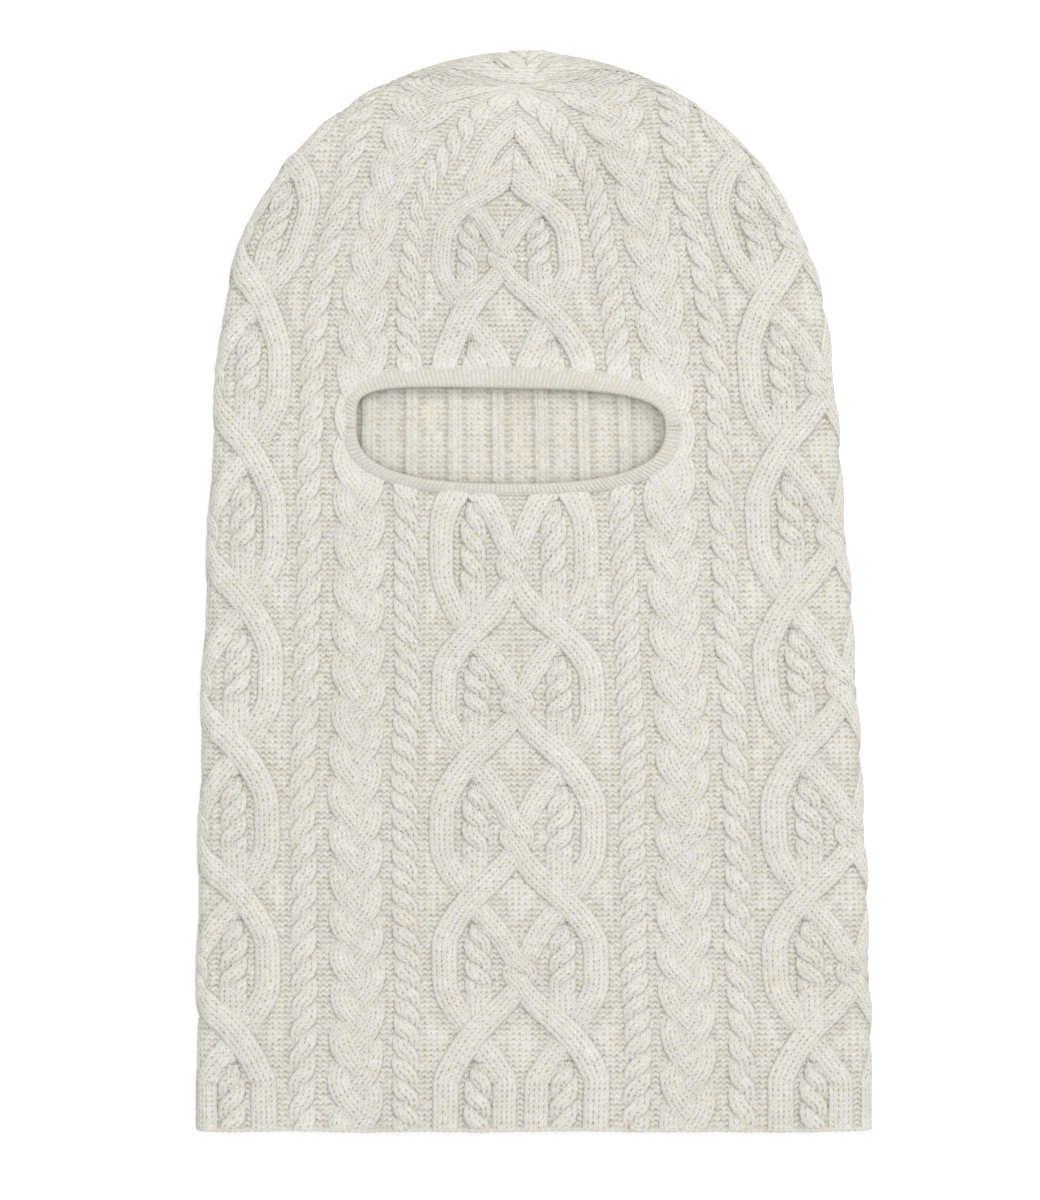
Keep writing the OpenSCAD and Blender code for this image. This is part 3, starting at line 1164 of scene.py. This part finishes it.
def build_cloth(outer, inner):
    """The ground's sheets, each with the number of quarters of the tube it takes up."""
    beside = beside_cables()
    sheets = {}
    for name, first, last, fine, inside in (
        ("front_ground_left", -1.0, 0.0, 4, False),
        ("front_ground_right", 0.0, 1.0, 4, False),
        ("back_ground_left", -2.0, -1.0, 2, False),
        ("back_ground_right", 1.0, 2.0, 2, False),
        ("front_inside_left", -1.0, 0.0, 1, True),
        ("front_inside_right", 0.0, 1.0, 1, True),
        ("back_inside_left", -1.45, -1.0, 1, True),
        ("back_inside_middle", 1.45, 2.55, 4, True),
        ("back_inside_right", 1.0, 1.45, 1, True),
    ):
        net = Net()
        ground_net(net, first, last, fine, beside, inside)
        material = inner if inside else outer
        sheets[name] = (finish_piece(net.make(name), material, "cable_knit"), last - first)
    return sheets


cable_wool = wool("cable_wool")
ground_wool = wool("ground_wool", purl=True)
inside_wool = wool("inside_wool", tint=(0.99, 0.985, 0.965), shade_strength=1.0, purl=True, gap_shade=0.12)
rib_wool = wool("rib_wool", tint=(0.96, 0.96, 0.95), shade_strength=0.7, gap_shade=0.15)
yarn_wool = wool("yarn_wool", tint=(0.97, 0.97, 0.96), shade_strength=0.5)
label_tape = tape("label_tape")

build_raised(cable_wool)
cloth = build_cloth(ground_wool, inside_wool)
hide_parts("front_panel")
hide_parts("back_panel")
finish_piece(build_band(), rib_wool, "rib_trim", "eye_band")
finish_piece(build_hem(), rib_wool, "rib_trim", "hem_edge")
finish_piece(build_linking(), yarn_wool, "linking_yarn", "eye_band_linking")
finish_piece(build_join(), yarn_wool, "linking_yarn", "eye_band_join")
for seam, node in build_seams():
    finish_piece(seam, yarn_wool, "linking_yarn", node)
finish_piece(build_closure(), yarn_wool, "linking_yarn", "crown_closure")
label, label_thread = build_label()
finish_piece(label, label_tape, "label_tape", "care_label")
finish_piece(label_thread, yarn_wool, "label_thread", "care_label_stitches")


# ---- floor, light, camera
def add_floor():
    mesh = bpy.data.meshes.new("floor")
    reach = 6.0
    corners = [(-reach, -reach, 0), (reach, -reach, 0), (reach, reach, 0), (-reach, reach, 0)]
    mesh.from_pydata(corners, [], [(0, 1, 2, 3)])
    floor = bpy.data.objects.new("floor", mesh)
    bpy.context.collection.objects.link(floor)
    material, _, shader = new_material("pale_floor")
    shader.inputs["Base Color"].default_value = (0.98, 0.98, 0.98, 1)
    shader.inputs["Roughness"].default_value = 0.95
    shader.inputs["Specular IOR Level"].default_value = 0.05
    mesh.materials.append(material)


def add_light(name, place, size, power):
    data = bpy.data.lights.new(name, "AREA")
    data.shape = "DISK"
    data.size = size
    data.energy = power
    lamp = bpy.data.objects.new(name, data)
    lamp.location = place
    lamp.rotation_euler = (-Vector(place)).to_track_quat("-Z", "Y").to_euler()
    bpy.context.collection.objects.link(lamp)


def add_camera():
    """Looks straight down on the hood, in a frame a little higher than it is long."""
    data = bpy.data.cameras.new("camera")
    data.lens = 100
    data.sensor_width = 36
    camera = bpy.data.objects.new("camera", data)
    view_height = 0.4478
    distance = view_height / 2 / math.tan(math.atan(18 / data.lens))
    camera.location = (-0.0051, -0.0044, distance + 0.002)
    bpy.context.collection.objects.link(camera)
    bpy.context.scene.camera = camera


def add_world():
    world = bpy.data.worlds.new("studio")
    world.use_nodes = True
    background = world.node_tree.nodes["Background"]
    background.inputs["Color"].default_value = (1.0, 1.0, 1.0, 1)
    background.inputs["Strength"].default_value = 0.82
    bpy.context.scene.world = world


add_floor()
add_light("key", (0.8, 0.9, 1.3), 0.9, 10)
add_light("overhead", (0.0, 0.0, 1.9), 1.6, 22)
add_camera()
add_world()
bpy.context.scene.view_settings.view_transform = "Standard"
